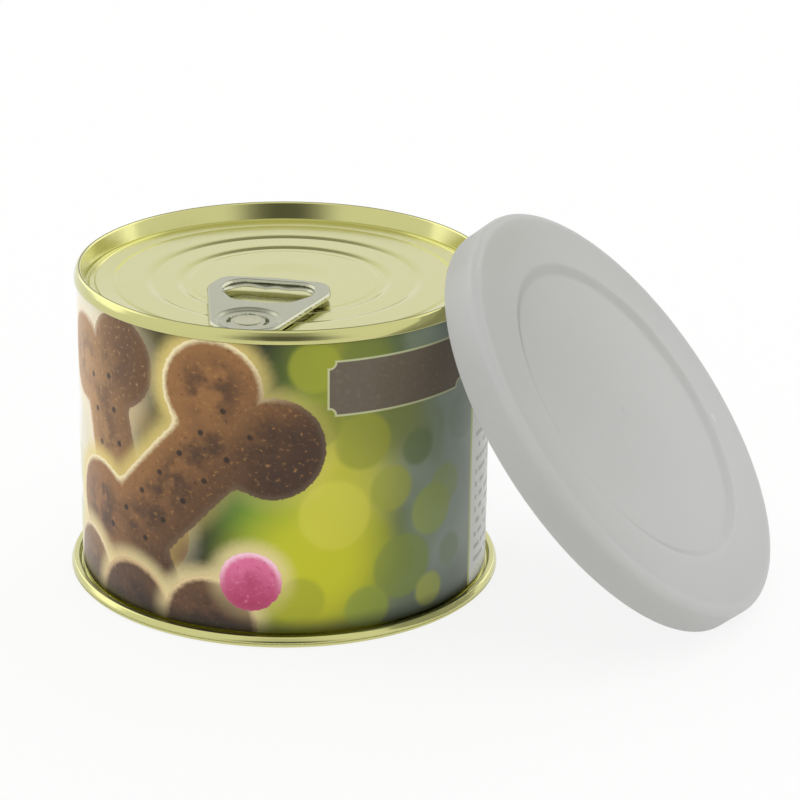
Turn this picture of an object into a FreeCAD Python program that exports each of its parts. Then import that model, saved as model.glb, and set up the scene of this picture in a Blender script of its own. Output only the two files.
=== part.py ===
"""Dog treat can: a gold-lacquered tin with a ring-pull end and a paper label,
and its clear plastic snap lid taken off and leant against the side.

Units are millimetres, +Z is up.  The origin is on the can's axis, in the plane it stands on.
"""
import FreeCAD, Part
import math
import os
import Sketcher

V = FreeCAD.Vector
doc = FreeCAD.newDocument("dog_treat_can")

# Driving dimensions: (alias, value, what it is)
DIMENSIONS = [
    ("can_height", 57.0, "table to the ridge of the top seam"),
    ("body_dia", 73.2, "bare tin body"),
    ("body_top_fall", 0.5, "radius lost where the body necks in under the top seam"),
    ("neck_length", 1.2, "height of that neck"),
    ("top_seam_stand", 0.57, "how far the top double seam stands out of the body"),
    ("top_seam_length", 2.34, "height of the top double seam"),
    ("base_seam_stand", 2.2, "how far the base double seam stands out of the body"),
    ("base_seam_length", 2.0, "height of the base double seam"),
    ("seam_width", 1.2, "thickness of a double seam"),
    ("seam_round", 0.55, "rounding of a seam's edges"),
    ("panel_depth", 3.1, "top seam ridge down to the end panel"),
    ("chuck_lean", 0.55, "how far the wall inside the top seam leans in"),
    ("sink_depth", 0.45, "countersink groove below the panel"),
    ("sink_width", 0.9, "width of the countersink groove"),
    ("end_plate", 1.6, "panel metal with the backing it rests on"),
    ("end_wall", 0.3, "metal of the wall inside a seam"),
    ("score_inset", 1.97, "chuck wall in to the tear line"),
    ("score_width", 0.3, "width of the tear line"),
    ("score_depth", 0.15, "depth of the tear line"),
    ("bead_inset", 3.72, "chuck wall in to the raised ring, middle of its slope"),
    ("bead_rise", 0.35, "how far that ring stands up"),
    ("step_inset", 8.52, "chuck wall in to the first step down, middle of its slope"),
    ("step_fall", 0.5, "height of that step"),
    ("well_inset", 14.62, "chuck wall in to the second step down, middle of its slope"),
    ("well_fall", 0.5, "height of that step"),
    ("centre_inset", 18.12, "chuck wall in to the raised centre disc, middle of its slope"),
    ("centre_rise", 0.2, "height of the centre disc"),
    ("slope_run", 1.0, "width of each of these slopes"),
    ("finger_dish_dia", 14.5, "finger dish in the panel"),
    ("finger_dish_deep", 0.4, "depth of the finger dish"),
    ("finger_dish_reach", 6.0, "tab's far end to the middle of the dish"),
    ("dish_round", 0.3, "rounding of the dish's edges"),
    ("rivet_inset", 8.72, "chuck wall in to the rivet"),
    ("rivet_turn", 256.75, "compass angle of the rivet, counter-clockwise from +X"),
    ("boss_dia", 8.4, "coined boss under the rivet"),
    ("stem_dia", 3.4, "rivet stem"),
    ("head_dia", 4.6, "rivet head"),
    ("head_thick", 0.4, "rivet head thickness"),
    ("stem_clear", 0.08, "all round the stem in the tab"),
    ("tab_lift", 0.45, "gap from the panel's rim level to the tab"),
    ("tab_thick", 1.25, "tab over its curled edges"),
    ("tab_curl", 0.5, "rounding of the curled edges"),
    ("tab_nose", 5.7, "rivet to the tip of the nose"),
    ("tab_nose_wide", 10.6, "width across the nose's corners"),
    ("tab_nose_round", 5.0, "rounding of those corners"),
    ("tab_wide", 22.2, "width across the corners beside the finger hole"),
    ("tab_wide_at", 15.8, "rivet to those corners"),
    ("tab_wide_round", 6.0, "rounding of those corners"),
    ("tab_end", 22.4, "rivet to the far end"),
    ("tab_end_wide", 19.2, "width across the far corners"),
    ("tab_end_bow", 0.9, "how far the far edge bows out"),
    ("tab_end_round", 3.0, "rounding of the far corners"),
    ("hole_near", 8.75, "rivet to the near side of the finger hole"),
    ("hole_near_wide", 9.8, "width across its near corners"),
    ("hole_near_bow", 0.95, "how far its near side bows out"),
    ("hole_near_round", 3.0, "rounding of its near corners"),
    ("hole_wide", 17.2, "width across its side corners"),
    ("hole_wide_at", 15.0, "rivet to those corners"),
    ("hole_wide_round", 5.0, "rounding of those corners"),
    ("hole_far", 20.0, "rivet to its far side"),
    ("hole_far_wide", 13.6, "width across its far corners"),
    ("hole_far_round", 3.2, "rounding of its far corners"),
    ("bow_round", 14.0, "rounding in the middle of a bowed edge"),
    ("island_dish_dia", 9.2, "dish pressed round the rivet"),
    ("island_dish_deep", 0.45, "depth of that dish"),
    ("slot_dia", 6.6, "middle of the C slot round the rivet"),
    ("slot_wide", 0.5, "width of the C slot"),
    ("slot_sweep", 230.0, "how far the C slot goes round"),
    ("label_thick", 0.12, "paper label"),
    ("label_foot", 2.05, "table to the label's lower edge"),
    ("label_gap", 0.12, "label's upper edge to the top seam"),
    ("label_lap", 7.0, "overlap of the label's ends, degrees"),
    ("label_lap_turn", 74.0, "compass angle where the overlap starts"),
    ("base_recess", 2.6, "table up to the base panel"),
    ("base_plate", 0.4, "base panel metal"),
    ("base_crest", 0.9, "slope from the base seam's crest to its inside"),
    ("body_wall", 0.4, "tin wall where it meets the seams"),
    ("base_bead_inset", 9.9, "base seam's inside in to the raised ring of the base panel"),
    ("base_bead_drop", 0.6, "how far that ring stands down"),
    ("lid_play", 0.75, "all round between the base seam and the lid's skirt"),
    ("lid_skirt", 6.9, "height of the snap lid"),
    ("lid_wall", 0.85, "lid plastic"),
    ("lid_round", 1.6, "shoulder between skirt and top"),
    ("lid_disc_inset", 11.55, "skirt's inside in to the sunk middle disc"),
    ("lid_disc_sink", 1.2, "how far the disc is sunk"),
    ("lid_step_run", 1.1, "width of the step's slope"),
    ("lid_snap", 0.5, "snap ring inside the skirt's edge"),
    ("lid_snap_tall", 1.6, "height of the snap ring"),
    ("lid_edge_round", 0.25, "rounding of the skirt's edge"),
    ("lid_gate_dia", 1.6, "moulding gate mark in the middle"),
    ("lid_gate_rise", 0.12, "height of the gate mark"),
    ("lid_lean", 50.3, "angle of the leaning lid to the table"),
    ("lid_lean_turn", -21.2, "compass angle the lid's top faces"),
    ("lid_shift", 7.3, "lid's centre beside the can's axis, square to that angle"),
    ("lid_clear", 0.2, "lid to the rim that it rests on"),
    ("table_clear", 0.05, "lid's edge to the table"),
]

sheet = doc.addObject("Spreadsheet::Sheet", "Dims")
for row, (alias, value, meaning) in enumerate(DIMENSIONS, start=1):
    sheet.set("A%d" % row, alias)
    sheet.set("B%d" % row, str(value))
    sheet.set("C%d" % row, meaning)
    sheet.setAlias("B%d" % row, alias)
doc.recompute()


class Size:
    """A size that carries its number and the spreadsheet expression it comes from."""

    def __init__(self, value, text):
        self.value = value
        self.text = text

    def join(self, other, sign, result):
        text = other.text if isinstance(other, Size) else repr(other)
        return Size(result, "(%s %s %s)" % (self.text, sign, text))

    def __add__(self, other):
        return self.join(other, "+", self.value + number(other))

    def __sub__(self, other):
        return self.join(other, "-", self.value - number(other))

    def __mul__(self, other):
        return self.join(other, "*", self.value * number(other))

    def __truediv__(self, other):
        return self.join(other, "/", self.value / number(other))

    def __neg__(self):
        return Size(-self.value, "(0 - %s)" % self.text)


def cosine(angle):
    return Size(math.cos(math.radians(angle.value)), "cos(%s * 1 deg)" % angle.text)


def sine(angle):
    return Size(math.sin(math.radians(angle.value)), "sin(%s * 1 deg)" % angle.text)


def number(size):
    return size.value if isinstance(size, Size) else float(size)


def dim(alias):
    return Size(float(sheet.get(alias)), "Dims." + alias)


def half(alias):
    return dim(alias) / 2


ZERO = dim("can_height") * 0


# ---------------------------------------------------------------- drawing tools

def new_body(label):
    body = doc.addObject("PartDesign::Body", label)
    body.Label = label
    return body


def plane(body, role):
    return next(o for o in body.Origin.OriginFeatures if o.Role == role)


def bind(sketch, constraint, size):
    index = sketch.addConstraint(constraint)
    sketch.setExpression("Constraints[%d]" % index, size.text)


def pin(sketch, geometry, end, x, y):
    """Fixes one end of a line or arc at (x, y), measured from the sketch's origin."""
    for kind, size in (("DistanceX", x), ("DistanceY", y)):
        if abs(size.value) < 1e-9:
            axis = -2 if kind == "DistanceX" else -1
            sketch.addConstraint(Sketcher.Constraint("PointOnObject", geometry, end, axis))
        else:
            bind(sketch, Sketcher.Constraint(kind, -1, 1, geometry, end, size.value), size)


def arc_between(start, finish, radius, turn):
    """The arc of a given radius from start to finish; turn is 1 for counter-clockwise."""
    chord = finish - start
    reach = math.sqrt(max(radius ** 2 - (chord.Length / 2) ** 2, 0.0))
    side = V(-chord.y, chord.x, 0).normalize() * (reach * turn)
    centre = (start + finish) * 0.5 + side
    first, last = (start, finish) if turn > 0 else (finish, start)
    angles = [math.atan2((p - centre).y, (p - centre).x) for p in (first, last)]
    if angles[1] < angles[0]:
        angles[1] += 2 * math.pi
    return Part.ArcOfCircle(Part.Circle(centre, V(0, 0, 1), radius), angles[0], angles[1])


def outline(body, name, steps, role="XZ_Plane"):
    """Draws a closed outline.  A step is (x, y) for a straight run to that point,
    or (x, y, radius, turn) for an arc of that radius ending there."""
    sketch = body.newObject("Sketcher::SketchObject", name)
    sketch.AttachmentSupport = (plane(body, role), [""])
    sketch.MapMode = "FlatFace"
    corners = [V(step[0].value, step[1].value, 0) for step in steps]
    ends = []
    for index, step in enumerate(steps):
        start, finish = corners[index - 1], corners[index]
        if len(step) == 4:
            curve = arc_between(start, finish, step[2].value, step[3])
            shape = sketch.addGeometry(curve, False)
            ends.append((shape, 1, 2) if step[3] > 0 else (shape, 2, 1))
        else:
            shape = sketch.addGeometry(Part.LineSegment(start, finish), False)
            ends.append((shape, 1, 2))
    for index, step in enumerate(steps):
        shape, _, tail = ends[index]
        following, head, _ = ends[(index + 1) % len(ends)]
        sketch.addConstraint(Sketcher.Constraint("Coincident", shape, tail, following, head))
        pin(sketch, shape, tail, step[0], step[1])
        if len(step) == 4:
            bind(sketch, Sketcher.Constraint("Radius", shape, step[2].value), step[2])
    return sketch


def circle(body, name, x, y, radius, role="XY_Plane"):
    sketch = body.newObject("Sketcher::SketchObject", name)
    sketch.AttachmentSupport = (plane(body, role), [""])
    sketch.MapMode = "FlatFace"
    shape = sketch.addGeometry(Part.Circle(V(x.value, y.value, 0), V(0, 0, 1), radius.value), False)
    pin(sketch, shape, 3, x, y)
    bind(sketch, Sketcher.Constraint("Radius", shape, radius.value), radius)
    return sketch


def place(sketch, x=None, y=None, z=None, turn=None):
    """Moves a flat sketch on its plane, lifts it along the normal and turns it."""
    for name, size in (("Base.x", x), ("Base.y", y), ("Base.z", z), ("Rotation.Angle", turn)):
        if size is not None:
            sketch.setExpression("AttachmentOffset." + name, size.text)


def revolve(body, sketch, kind="PartDesign::Revolution", sweep=None):
    feature = body.newObject(kind, sketch.Name + "_turned")
    feature.Profile = sketch
    feature.ReferenceAxis = (sketch, ["V_Axis"])
    if sweep is None:
        feature.Angle = 360.0
    else:
        feature.setExpression("Angle", sweep.text)
    doc.recompute()
    return feature


def pad(body, sketch, length):
    feature = body.newObject("PartDesign::Pad", sketch.Name + "_pad")
    feature.Profile = sketch
    feature.setExpression("Length", length.text)
    doc.recompute()
    return feature


def pocket(body, sketch, depth=None):
    """Cuts down from the sketch's plane: to a depth, or right through."""
    before = body.Shape.Volume
    feature = body.newObject("PartDesign::Pocket", sketch.Name + "_pocket")
    feature.Profile = sketch
    if depth is None:
        feature.Type = "ThroughAll"
    else:
        feature.setExpression("Length", depth.text)
    doc.recompute()
    if not body.Shape.Volume < before - 1e-6:
        raise RuntimeError(sketch.Name + " cuts nothing")
    return feature


def round_edges(body, name, radius, wanted):
    """Rounds the edges of the body's last feature that wanted() accepts."""
    tip = body.Tip
    chosen = ["Edge%d" % (i + 1) for i, edge in enumerate(tip.Shape.Edges) if wanted(edge)]
    if not chosen:
        raise RuntimeError(name + " finds no edge")
    feature = body.newObject("PartDesign::Fillet", name)
    feature.Base = (tip, chosen)
    feature.setExpression("Radius", radius.text)
    doc.recompute()
    return feature


def lies_at(edge, height):
    return all(abs(vertex.Z - height) < 1e-4 for vertex in edge.Vertexes)


def lies_flat(edge):
    return lies_at(edge, edge.Vertexes[0].Z)


def mirrored(point):
    return (-point[0], point[1])


def upright_at(point):
    """Accepts the upright edges that stand at a point of an outline or at its mirror image."""
    x, y = point[0].value, point[1].value
    return lambda edge: not lies_flat(edge) and all(
        math.hypot(abs(v.X) - x, v.Y - y) < 1e-4 for v in edge.Vertexes)


# ---------------------------------------------------------------- shared places

ridge = dim("can_height")
wide = half("body_dia")
top_seam = wide + dim("top_seam_stand")
base_seam = wide + dim("base_seam_stand")
panel = ridge - dim("panel_depth")
panel_under = panel - dim("end_plate")
seam_foot = ridge - dim("top_seam_length")
chuck_foot = top_seam - dim("seam_width") - dim("chuck_lean")
plug = chuck_foot + dim("end_wall")
hook = wide - dim("body_top_fall")
base_inner = wide - dim("body_wall")
base_top = dim("base_recess") + dim("base_plate")
tab_foot = panel + dim("tab_lift")
island_thick = dim("tab_thick") - dim("island_dish_deep")
island_top = tab_foot + island_thick
tab_turn = dim("rivet_turn") - 270
rivet_out = chuck_foot - dim("rivet_inset")
rivet_x = rivet_out * cosine(dim("rivet_turn"))
rivet_y = rivet_out * sine(dim("rivet_turn"))


# ---------------------------------------------------------------- can body

def make_can_body():
    """The filled tin: a straight cylinder, necked in under the top seam."""
    body = new_body("can_body")
    revolve(body, outline(body, "can_body_section", [
        (ZERO, base_top),
        (base_inner, base_top),
        (base_inner, dim("base_seam_length")),
        (wide, dim("base_seam_length")),
        (wide, seam_foot - dim("neck_length")),
        (hook, seam_foot),
        (plug, seam_foot),
        (plug, panel_under),
        (ZERO, panel_under),
    ]))


# ---------------------------------------------------------------- base end

def make_base_end():
    """The base: a double seam standing proud of the body and a sunk panel with one bead."""
    body = new_body("base_end")
    out = base_seam
    top = dim("base_seam_length")
    soft = dim("seam_round")
    inner = base_inner - dim("end_wall")
    bead = inner - dim("base_bead_inset")
    run = dim("slope_run")
    low = dim("base_recess") - dim("base_bead_drop")
    revolve(body, outline(body, "base_end_section", [
        (out - soft, ZERO),
        (out, soft, soft, 1),
        (out, top - soft),
        (out - soft, top, soft, 1),
        (base_inner, top),
        (base_inner, base_top),
        (ZERO, base_top),
        (ZERO, dim("base_recess")),
        (bead - run * 3, dim("base_recess")),
        (bead - run * 2, low),
        (bead - run, low),
        (bead, dim("base_recess")),
        (inner, dim("base_recess")),
        (inner, dim("base_crest")),
        (inner + dim("base_crest"), ZERO),
    ]))


# ---------------------------------------------------------------- ring-pull end

def make_pull_end():
    """The ring-pull end: seam, countersink, stepped panel, tear line, boss and rivet."""
    body = new_body("pull_end")
    out = top_seam
    soft = dim("seam_round")
    inner = out - dim("seam_width")
    sink = panel - dim("sink_depth")
    run = dim("slope_run") / 2
    bead = chuck_foot - dim("bead_inset")
    step = chuck_foot - dim("step_inset")
    basin = chuck_foot - dim("well_inset")
    disc = chuck_foot - dim("centre_inset")
    raised = panel + dim("bead_rise")
    lower = raised - dim("step_fall")
    well = lower - dim("well_fall")
    centre = well + dim("centre_rise")
    revolve(body, outline(body, "pull_end_section", [
        (ZERO, panel_under),
        (plug, panel_under),
        (plug, seam_foot),
        (out - soft / 2, seam_foot),
        (out, seam_foot + soft / 2, soft / 2, 1),
        (out, ridge - soft),
        (out - soft, ridge, soft, 1),
        (inner + soft, ridge),
        (inner, ridge - soft, soft, 1),
        (chuck_foot, sink),
        (chuck_foot - dim("sink_width") / 2, sink),
        (chuck_foot - dim("sink_width"), panel),
        (bead + run, panel),
        (bead - run, raised),
        (step + run, raised),
        (step - run, lower),
        (basin + run, lower),
        (basin - run, well),
        (disc + run, well),
        (disc - run, centre),
        (ZERO, centre),
    ]))

    score = chuck_foot - dim("score_inset")
    half_width = dim("score_width") / 2
    revolve(body, outline(body, "score_section", [
        (score, panel - dim("score_depth")),
        (score + half_width, panel + 0.01),
        (score - half_width, panel + 0.01),
    ]), kind="PartDesign::Groove")

    dish = circle(body, "finger_dish", ZERO, dim("tab_end") + dim("finger_dish_reach"), half("finger_dish_dia"))
    place(dish, rivet_x, rivet_y, centre, tab_turn)
    pocket(body, dish, dim("finger_dish_deep"))
    floor = centre.value - number(dim("finger_dish_deep"))
    round_edges(body, "finger_dish_round", dim("dish_round"), lambda e: lies_at(e, floor))

    boss = circle(body, "boss", ZERO, ZERO, half("boss_dia"))
    place(boss, rivet_x, rivet_y, panel_under)
    pad(body, boss, tab_foot - panel_under)
    stem = circle(body, "stem", ZERO, ZERO, half("stem_dia"))
    place(stem, rivet_x, rivet_y, panel)
    pad(body, stem, island_top - panel)
    head = circle(body, "head", ZERO, ZERO, half("head_dia"))
    place(head, rivet_x, rivet_y, island_top)
    pad(body, head, dim("head_thick"))
    crown = number(island_top + dim("head_thick"))
    round_edges(body, "head_round", dim("head_thick") / 2, lambda e: lies_at(e, crown))


# ---------------------------------------------------------------- pull tab

def make_pull_tab():
    """The ring-pull tab, drawn from its rivet: +Y runs to the ring, the nose is at -Y."""
    body = new_body("pull_tab")
    nose = (half("tab_nose_wide"), -dim("tab_nose"))
    side = (half("tab_wide"), dim("tab_wide_at"))
    corner = (half("tab_end_wide"), dim("tab_end") - dim("tab_end_bow"))
    end = (ZERO, dim("tab_end"))
    plate = outline(body, "tab_outline", [
        nose, side, corner, end, mirrored(corner), mirrored(side), mirrored(nose),
    ], role="XY_Plane")
    pad(body, plate, dim("tab_thick"))
    for name, radius, place_at in (("nose_round", "tab_nose_round", nose), ("side_round", "tab_wide_round", side),
                                   ("corner_round", "tab_end_round", corner), ("end_round", "bow_round", end)):
        round_edges(body, name, dim(radius), upright_at(place_at))

    foot = (ZERO, dim("hole_near"))
    heel = (half("hole_near_wide"), dim("hole_near") + dim("hole_near_bow"))
    belly = (half("hole_wide"), dim("hole_wide_at"))
    brow = (half("hole_far_wide"), dim("hole_far"))
    hole = outline(body, "finger_hole", [
        foot, heel, belly, brow, mirrored(brow), mirrored(belly), mirrored(heel),
    ], role="XY_Plane")
    place(hole, z=dim("tab_thick"))
    pocket(body, hole)
    for name, radius, place_at in (("foot_round", "bow_round", foot), ("heel_round", "hole_near_round", heel),
                                   ("belly_round", "hole_wide_round", belly), ("brow_round", "hole_far_round", brow)):
        round_edges(body, name, dim(radius), upright_at(place_at))
    thick = number(dim("tab_thick"))
    round_edges(body, "curled_edges", dim("tab_curl"), lambda e: lies_at(e, 0.0) or lies_at(e, thick))

    press = circle(body, "island_dish", ZERO, ZERO, half("island_dish_dia"))
    place(press, z=dim("tab_thick"))
    pocket(body, press, dim("island_dish_deep"))
    bore = circle(body, "stem_hole", ZERO, ZERO, half("stem_dia") + dim("stem_clear"))
    place(bore, z=dim("tab_thick"))
    pocket(body, bore)

    far = half("slot_dia") + dim("slot_wide") / 2
    near = half("slot_dia") - dim("slot_wide") / 2
    start = Size(90.0, "90") - dim("slot_sweep") / 2
    finish = Size(90.0, "90") + dim("slot_sweep") / 2
    slot = outline(body, "island_slot", [
        (far * cosine(start), far * sine(start)),
        (ZERO, far, far, 1),
        (far * cosine(finish), far * sine(finish), far, 1),
        (near * cosine(finish), near * sine(finish)),
        (ZERO, near, near, -1),
        (near * cosine(start), near * sine(start), near, -1),
    ], role="XY_Plane")
    place(slot, z=dim("tab_thick"))
    pocket(body, slot)

    body.setExpression("Placement.Base.x", rivet_x.text)
    body.setExpression("Placement.Base.y", rivet_y.text)
    body.setExpression("Placement.Base.z", tab_foot.text)
    body.setExpression("Placement.Rotation.Angle", tab_turn.text)


# ---------------------------------------------------------------- label

def make_label():
    """The paper label: one turn round the body, and the overlap of its ends."""
    body = new_body("label")
    foot = dim("label_foot")
    top = seam_foot - dim("label_gap")
    face = wide + dim("label_thick")
    lap = face + dim("label_thick")
    revolve(body, outline(body, "label_section", [
        (wide, foot), (face, foot), (face, top), (wide, top),
    ]))
    revolve(body, outline(body, "label_lap_section", [
        (face, foot), (lap, foot), (lap, top), (face, top),
    ]), sweep=dim("label_lap"))
    body.setExpression("Placement.Rotation.Angle", dim("label_lap_turn").text)


# ---------------------------------------------------------------- snap lid

lid_in = base_seam + dim("lid_play")
lid_out = lid_in + dim("lid_wall")
lid_top = dim("lid_skirt")
lid_edge = dim("lid_edge_round")


def make_snap_lid():
    """The thin snap lid, drawn open side down, then leant against the can."""
    body = new_body("snap_lid")
    wall = dim("lid_wall")
    shoulder = dim("lid_round")
    disc = lid_in - dim("lid_disc_inset")
    run = dim("lid_step_run")
    disc_top = lid_top - dim("lid_disc_sink")
    revolve(body, outline(body, "snap_lid_section", [
        (lid_out - lid_edge, ZERO),
        (lid_out, lid_edge, lid_edge, 1),
        (lid_out, lid_top - shoulder),
        (lid_out - shoulder, lid_top, shoulder, 1),
        (disc + run, lid_top),
        (disc, disc_top),
        (ZERO, disc_top),
        (ZERO, disc_top - wall),
        (disc + wall / 2, disc_top - wall),
        (disc + run + wall / 2, lid_top - wall),
        (lid_out - shoulder, lid_top - wall),
        (lid_in, lid_top - shoulder, shoulder - wall, -1),
        (lid_in, dim("lid_snap_tall")),
        (lid_in - dim("lid_snap"), dim("lid_snap_tall") / 2),
        (lid_in, ZERO),
    ]))
    gate = circle(body, "gate_mark", ZERO, ZERO, half("lid_gate_dia"))
    place(gate, z=disc_top - wall / 2)
    pad(body, gate, wall / 2 + dim("lid_gate_rise"))
    body.Placement = lean_lid()


def gap_to_can(point):
    """Distance from a point to the can's upper seam, taken as one rounded cylinder."""
    soft = dim("seam_round").value
    across = math.hypot(point.x, point.y) - (top_seam.value - soft)
    above = point.z - (ridge.value - soft)
    outside = math.hypot(max(across, 0.0), max(above, 0.0))
    return outside + min(max(across, above), 0.0) - soft


def lean_lid():
    """Where the lid lies: its edge on the table and its rim against the can's top seam."""
    turn = FreeCAD.Rotation(V(0, 0, 1), dim("lid_lean_turn").value)
    rotation = turn.multiply(FreeCAD.Rotation(V(0, 1, 0), dim("lid_lean").value))
    lean = math.radians(dim("lid_lean").value)
    edges = [(lid_out, lid_edge), (lid_out - lid_edge, ZERO), (lid_in, ZERO),
             (lid_in - dim("lid_snap"), dim("lid_snap_tall") / 2)]
    drop = max(r.value * math.sin(lean) - z.value * math.cos(lean) for r, z in edges)
    rims = []
    for r, z in edges:
        for step in range(720):
            angle = math.radians(step / 2)
            rims.append(rotation.multVec(V(r.value * math.cos(angle), r.value * math.sin(angle), z.value)))

    def centre(distance):
        flat = turn.multVec(V(distance, dim("lid_shift").value, 0))
        return flat + V(0, 0, drop + dim("table_clear").value)

    near, far = 0.0, 4 * lid_out.value
    for _ in range(40):
        middle = (near + far) / 2
        base = centre(middle)
        if min(gap_to_can(base + rim) for rim in rims) > dim("lid_clear").value:
            far = middle
        else:
            near = middle
    return FreeCAD.Placement(centre(far), rotation)


# ---------------------------------------------------------------- build, check, write

for make in (make_can_body, make_base_end, make_pull_end, make_pull_tab, make_label, make_snap_lid):
    make()
doc.recompute()

for thing in doc.Objects:
    if "Invalid" in thing.State or "Error" in thing.State:
        raise RuntimeError("%s did not build: %s" % (thing.Name, thing.State))

os.makedirs("parts", exist_ok=True)
for thing in doc.Objects:
    if thing.TypeId != "PartDesign::Body":
        continue
    shape = thing.Shape
    if shape.isNull() or not shape.isValid() or len(shape.Solids) != 1:
        raise RuntimeError(thing.Label + " is not one valid solid")
    shape.exportStep("parts/%s.step" % thing.Label)
    box = shape.BoundBox
    print("%-10s %8.2f cm3  x %7.2f %7.2f  y %7.2f %7.2f  z %7.2f %7.2f" % (
        thing.Label, shape.Volume / 1000, box.XMin, box.XMax, box.YMin, box.YMax, box.ZMin, box.ZMax))
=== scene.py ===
"""A shut dog treat can with a ring-pull end, and its snap lid leaning against it."""
import bpy
import math
import numpy as np
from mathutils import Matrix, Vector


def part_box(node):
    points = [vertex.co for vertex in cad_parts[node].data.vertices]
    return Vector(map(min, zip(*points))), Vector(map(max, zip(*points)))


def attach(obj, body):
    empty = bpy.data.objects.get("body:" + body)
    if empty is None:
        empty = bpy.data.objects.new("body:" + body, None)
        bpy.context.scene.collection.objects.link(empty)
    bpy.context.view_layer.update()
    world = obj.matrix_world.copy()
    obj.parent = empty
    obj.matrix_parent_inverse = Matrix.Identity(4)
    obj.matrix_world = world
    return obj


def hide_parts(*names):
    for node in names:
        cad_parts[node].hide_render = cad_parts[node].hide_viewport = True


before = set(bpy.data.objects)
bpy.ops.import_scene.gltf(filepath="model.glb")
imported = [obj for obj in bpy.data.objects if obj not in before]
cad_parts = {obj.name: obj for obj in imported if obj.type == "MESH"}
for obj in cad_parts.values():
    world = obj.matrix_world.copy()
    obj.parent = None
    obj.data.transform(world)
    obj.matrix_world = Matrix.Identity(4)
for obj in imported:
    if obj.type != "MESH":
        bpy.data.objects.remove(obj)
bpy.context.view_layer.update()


# ------------------------------------------------------------------ camera
# A long lens looks down on the can from the front, about 21 degrees below level.
# The lid stands to the right of the can, so the frame is shifted that way.

lens = bpy.data.cameras.new("camera")
lens.sensor_width = 36.0
lens.lens = 135.18
lens.shift_x = 0.14475
camera = bpy.data.objects.new("camera", lens)
camera.location = (0.0, -0.5044, 0.2232)
camera.rotation_euler = (math.radians(90.0 - 20.868), 0.0, 0.0)
bpy.context.collection.objects.link(camera)
bpy.context.scene.camera = camera
bpy.context.scene.view_settings.view_transform = "Standard"


# ------------------------------------------------------------------ light
# A white room lights everything evenly. Two dark strips in it, one high behind
# the can and one low in front, are what bright metal shows as its dark bands.
# A wide lamp stands behind on each side, and one in front, which metal does not
# mirror, fills the shade.

def linear(code):
    """The linear colour of a hex sRGB code: each part c is c/12.92 below 0.04045
    and ((c + 0.055)/1.055)^2.4 above it; alpha is 1."""
    parts = [int(code[i:i + 2], 16) / 255 for i in (1, 3, 5)]
    flat = [c / 12.92 if c <= 0.04045 else ((c + 0.055) / 1.055) ** 2.4 for c in parts]
    return tuple(flat) + (1.0,)


def node(tree, kind, values=None, links=None, **settings):
    """Add one node with its settings, its sockets' own values and its incoming links."""
    made = tree.nodes.new(kind)
    for name, value in settings.items():
        setattr(made, name, value)
    for name, value in (values or {}).items():
        made.inputs[name].default_value = value
    for name, socket in (links or {}).items():
        tree.links.new(socket, made.inputs[name])
    return made


def reckon(tree, operation, *terms):
    """One Math node on sockets and plain numbers; gives its output socket."""
    values = {i: term for i, term in enumerate(terms) if isinstance(term, (int, float))}
    links = {i: term for i, term in enumerate(terms) if not isinstance(term, (int, float))}
    return node(tree, "ShaderNodeMath", values, links, operation=operation).outputs[0]


def smooth_run(tree, value, start, stop, first, last):
    """A smooth run from first to last while the value goes from start to stop."""
    return node(tree, "ShaderNodeMapRange",
                {"From Min": start, "From Max": stop, "To Min": first, "To Max": last},
                {"Value": value}, interpolation_type="SMOOTHSTEP").outputs[0]


def lamp(name, place, aim, width, depth, power, mirrored=True):
    """A soft rectangular lamp at a place, turned towards a point. Metal does
    not mirror it when mirrored is off, as with light bounced off a wall."""
    data = bpy.data.lights.new(name, "AREA")
    data.shape = "RECTANGLE"
    data.size, data.size_y, data.energy = width, depth, power
    made = bpy.data.objects.new(name, data)
    made.location = place
    made.visible_glossy = mirrored
    beam = np.subtract(aim, place)
    across = math.hypot(beam[0], beam[1])
    made.rotation_euler = (math.atan2(across, -beam[2]), 0.0, math.atan2(-beam[0], beam[1]))
    bpy.context.collection.objects.link(made)


lamp("lamp_left", (-0.85, 0.55, 0.55), (0.0, 0.0, 0.04), 1.2, 0.9, 2.5)
lamp("lamp_right", (0.85, 0.55, 0.55), (0.0, 0.0, 0.04), 1.2, 0.9, 2.5)
lamp("lamp_fill", (0.25, -0.9, 0.9), (0.02, 0.0, 0.03), 1.4, 1.4, 2.2, mirrored=False)

world = bpy.data.worlds.new("white_room")
world.use_nodes = True
bpy.context.scene.world = world
sky = world.node_tree
sky.nodes.clear()
where = node(sky, "ShaderNodeTexCoord")
way = node(sky, "ShaderNodeSeparateXYZ", links={0: where.outputs["Generated"]})
aside = reckon(sky, "ABSOLUTE", way.outputs["X"])
back = way.outputs["Y"]
behind = reckon(sky, "MULTIPLY", smooth_run(sky, back, 0.3, 0.45, 0.0, 0.68),
                smooth_run(sky, back, 0.72, 0.84, 1.0, 0.0))
behind = reckon(sky, "MULTIPLY", behind, smooth_run(sky, aside, 0.08, 0.48, 1.0, 0.0))
front = reckon(sky, "MULTIPLY", smooth_run(sky, back, -0.92, -0.76, 1.0, 0.0),
               smooth_run(sky, aside, 0.1, 0.75, 0.88, 0.0))
strength = reckon(sky, "SUBTRACT", 1.0, reckon(sky, "MAXIMUM", behind, front))
glow = node(sky, "ShaderNodeBackground", {"Color": linear("#ffffff")}, {"Strength": strength})
node(sky, "ShaderNodeOutputWorld", links={"Surface": glow.outputs[0]})


# ------------------------------------------------------------------ floor
# A matt white table top, 3 m square, that runs past the edges of the camera's view.
# Looked at directly, in a mirror or through the lid it is mostly an even white of
# strength 1; the rest is the lit laminate, which keeps the shadow.

def material(name):
    """A new empty node material and its tree."""
    made = bpy.data.materials.new(name)
    made.use_nodes = True
    made.node_tree.nodes.clear()
    return made, made.node_tree


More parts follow.
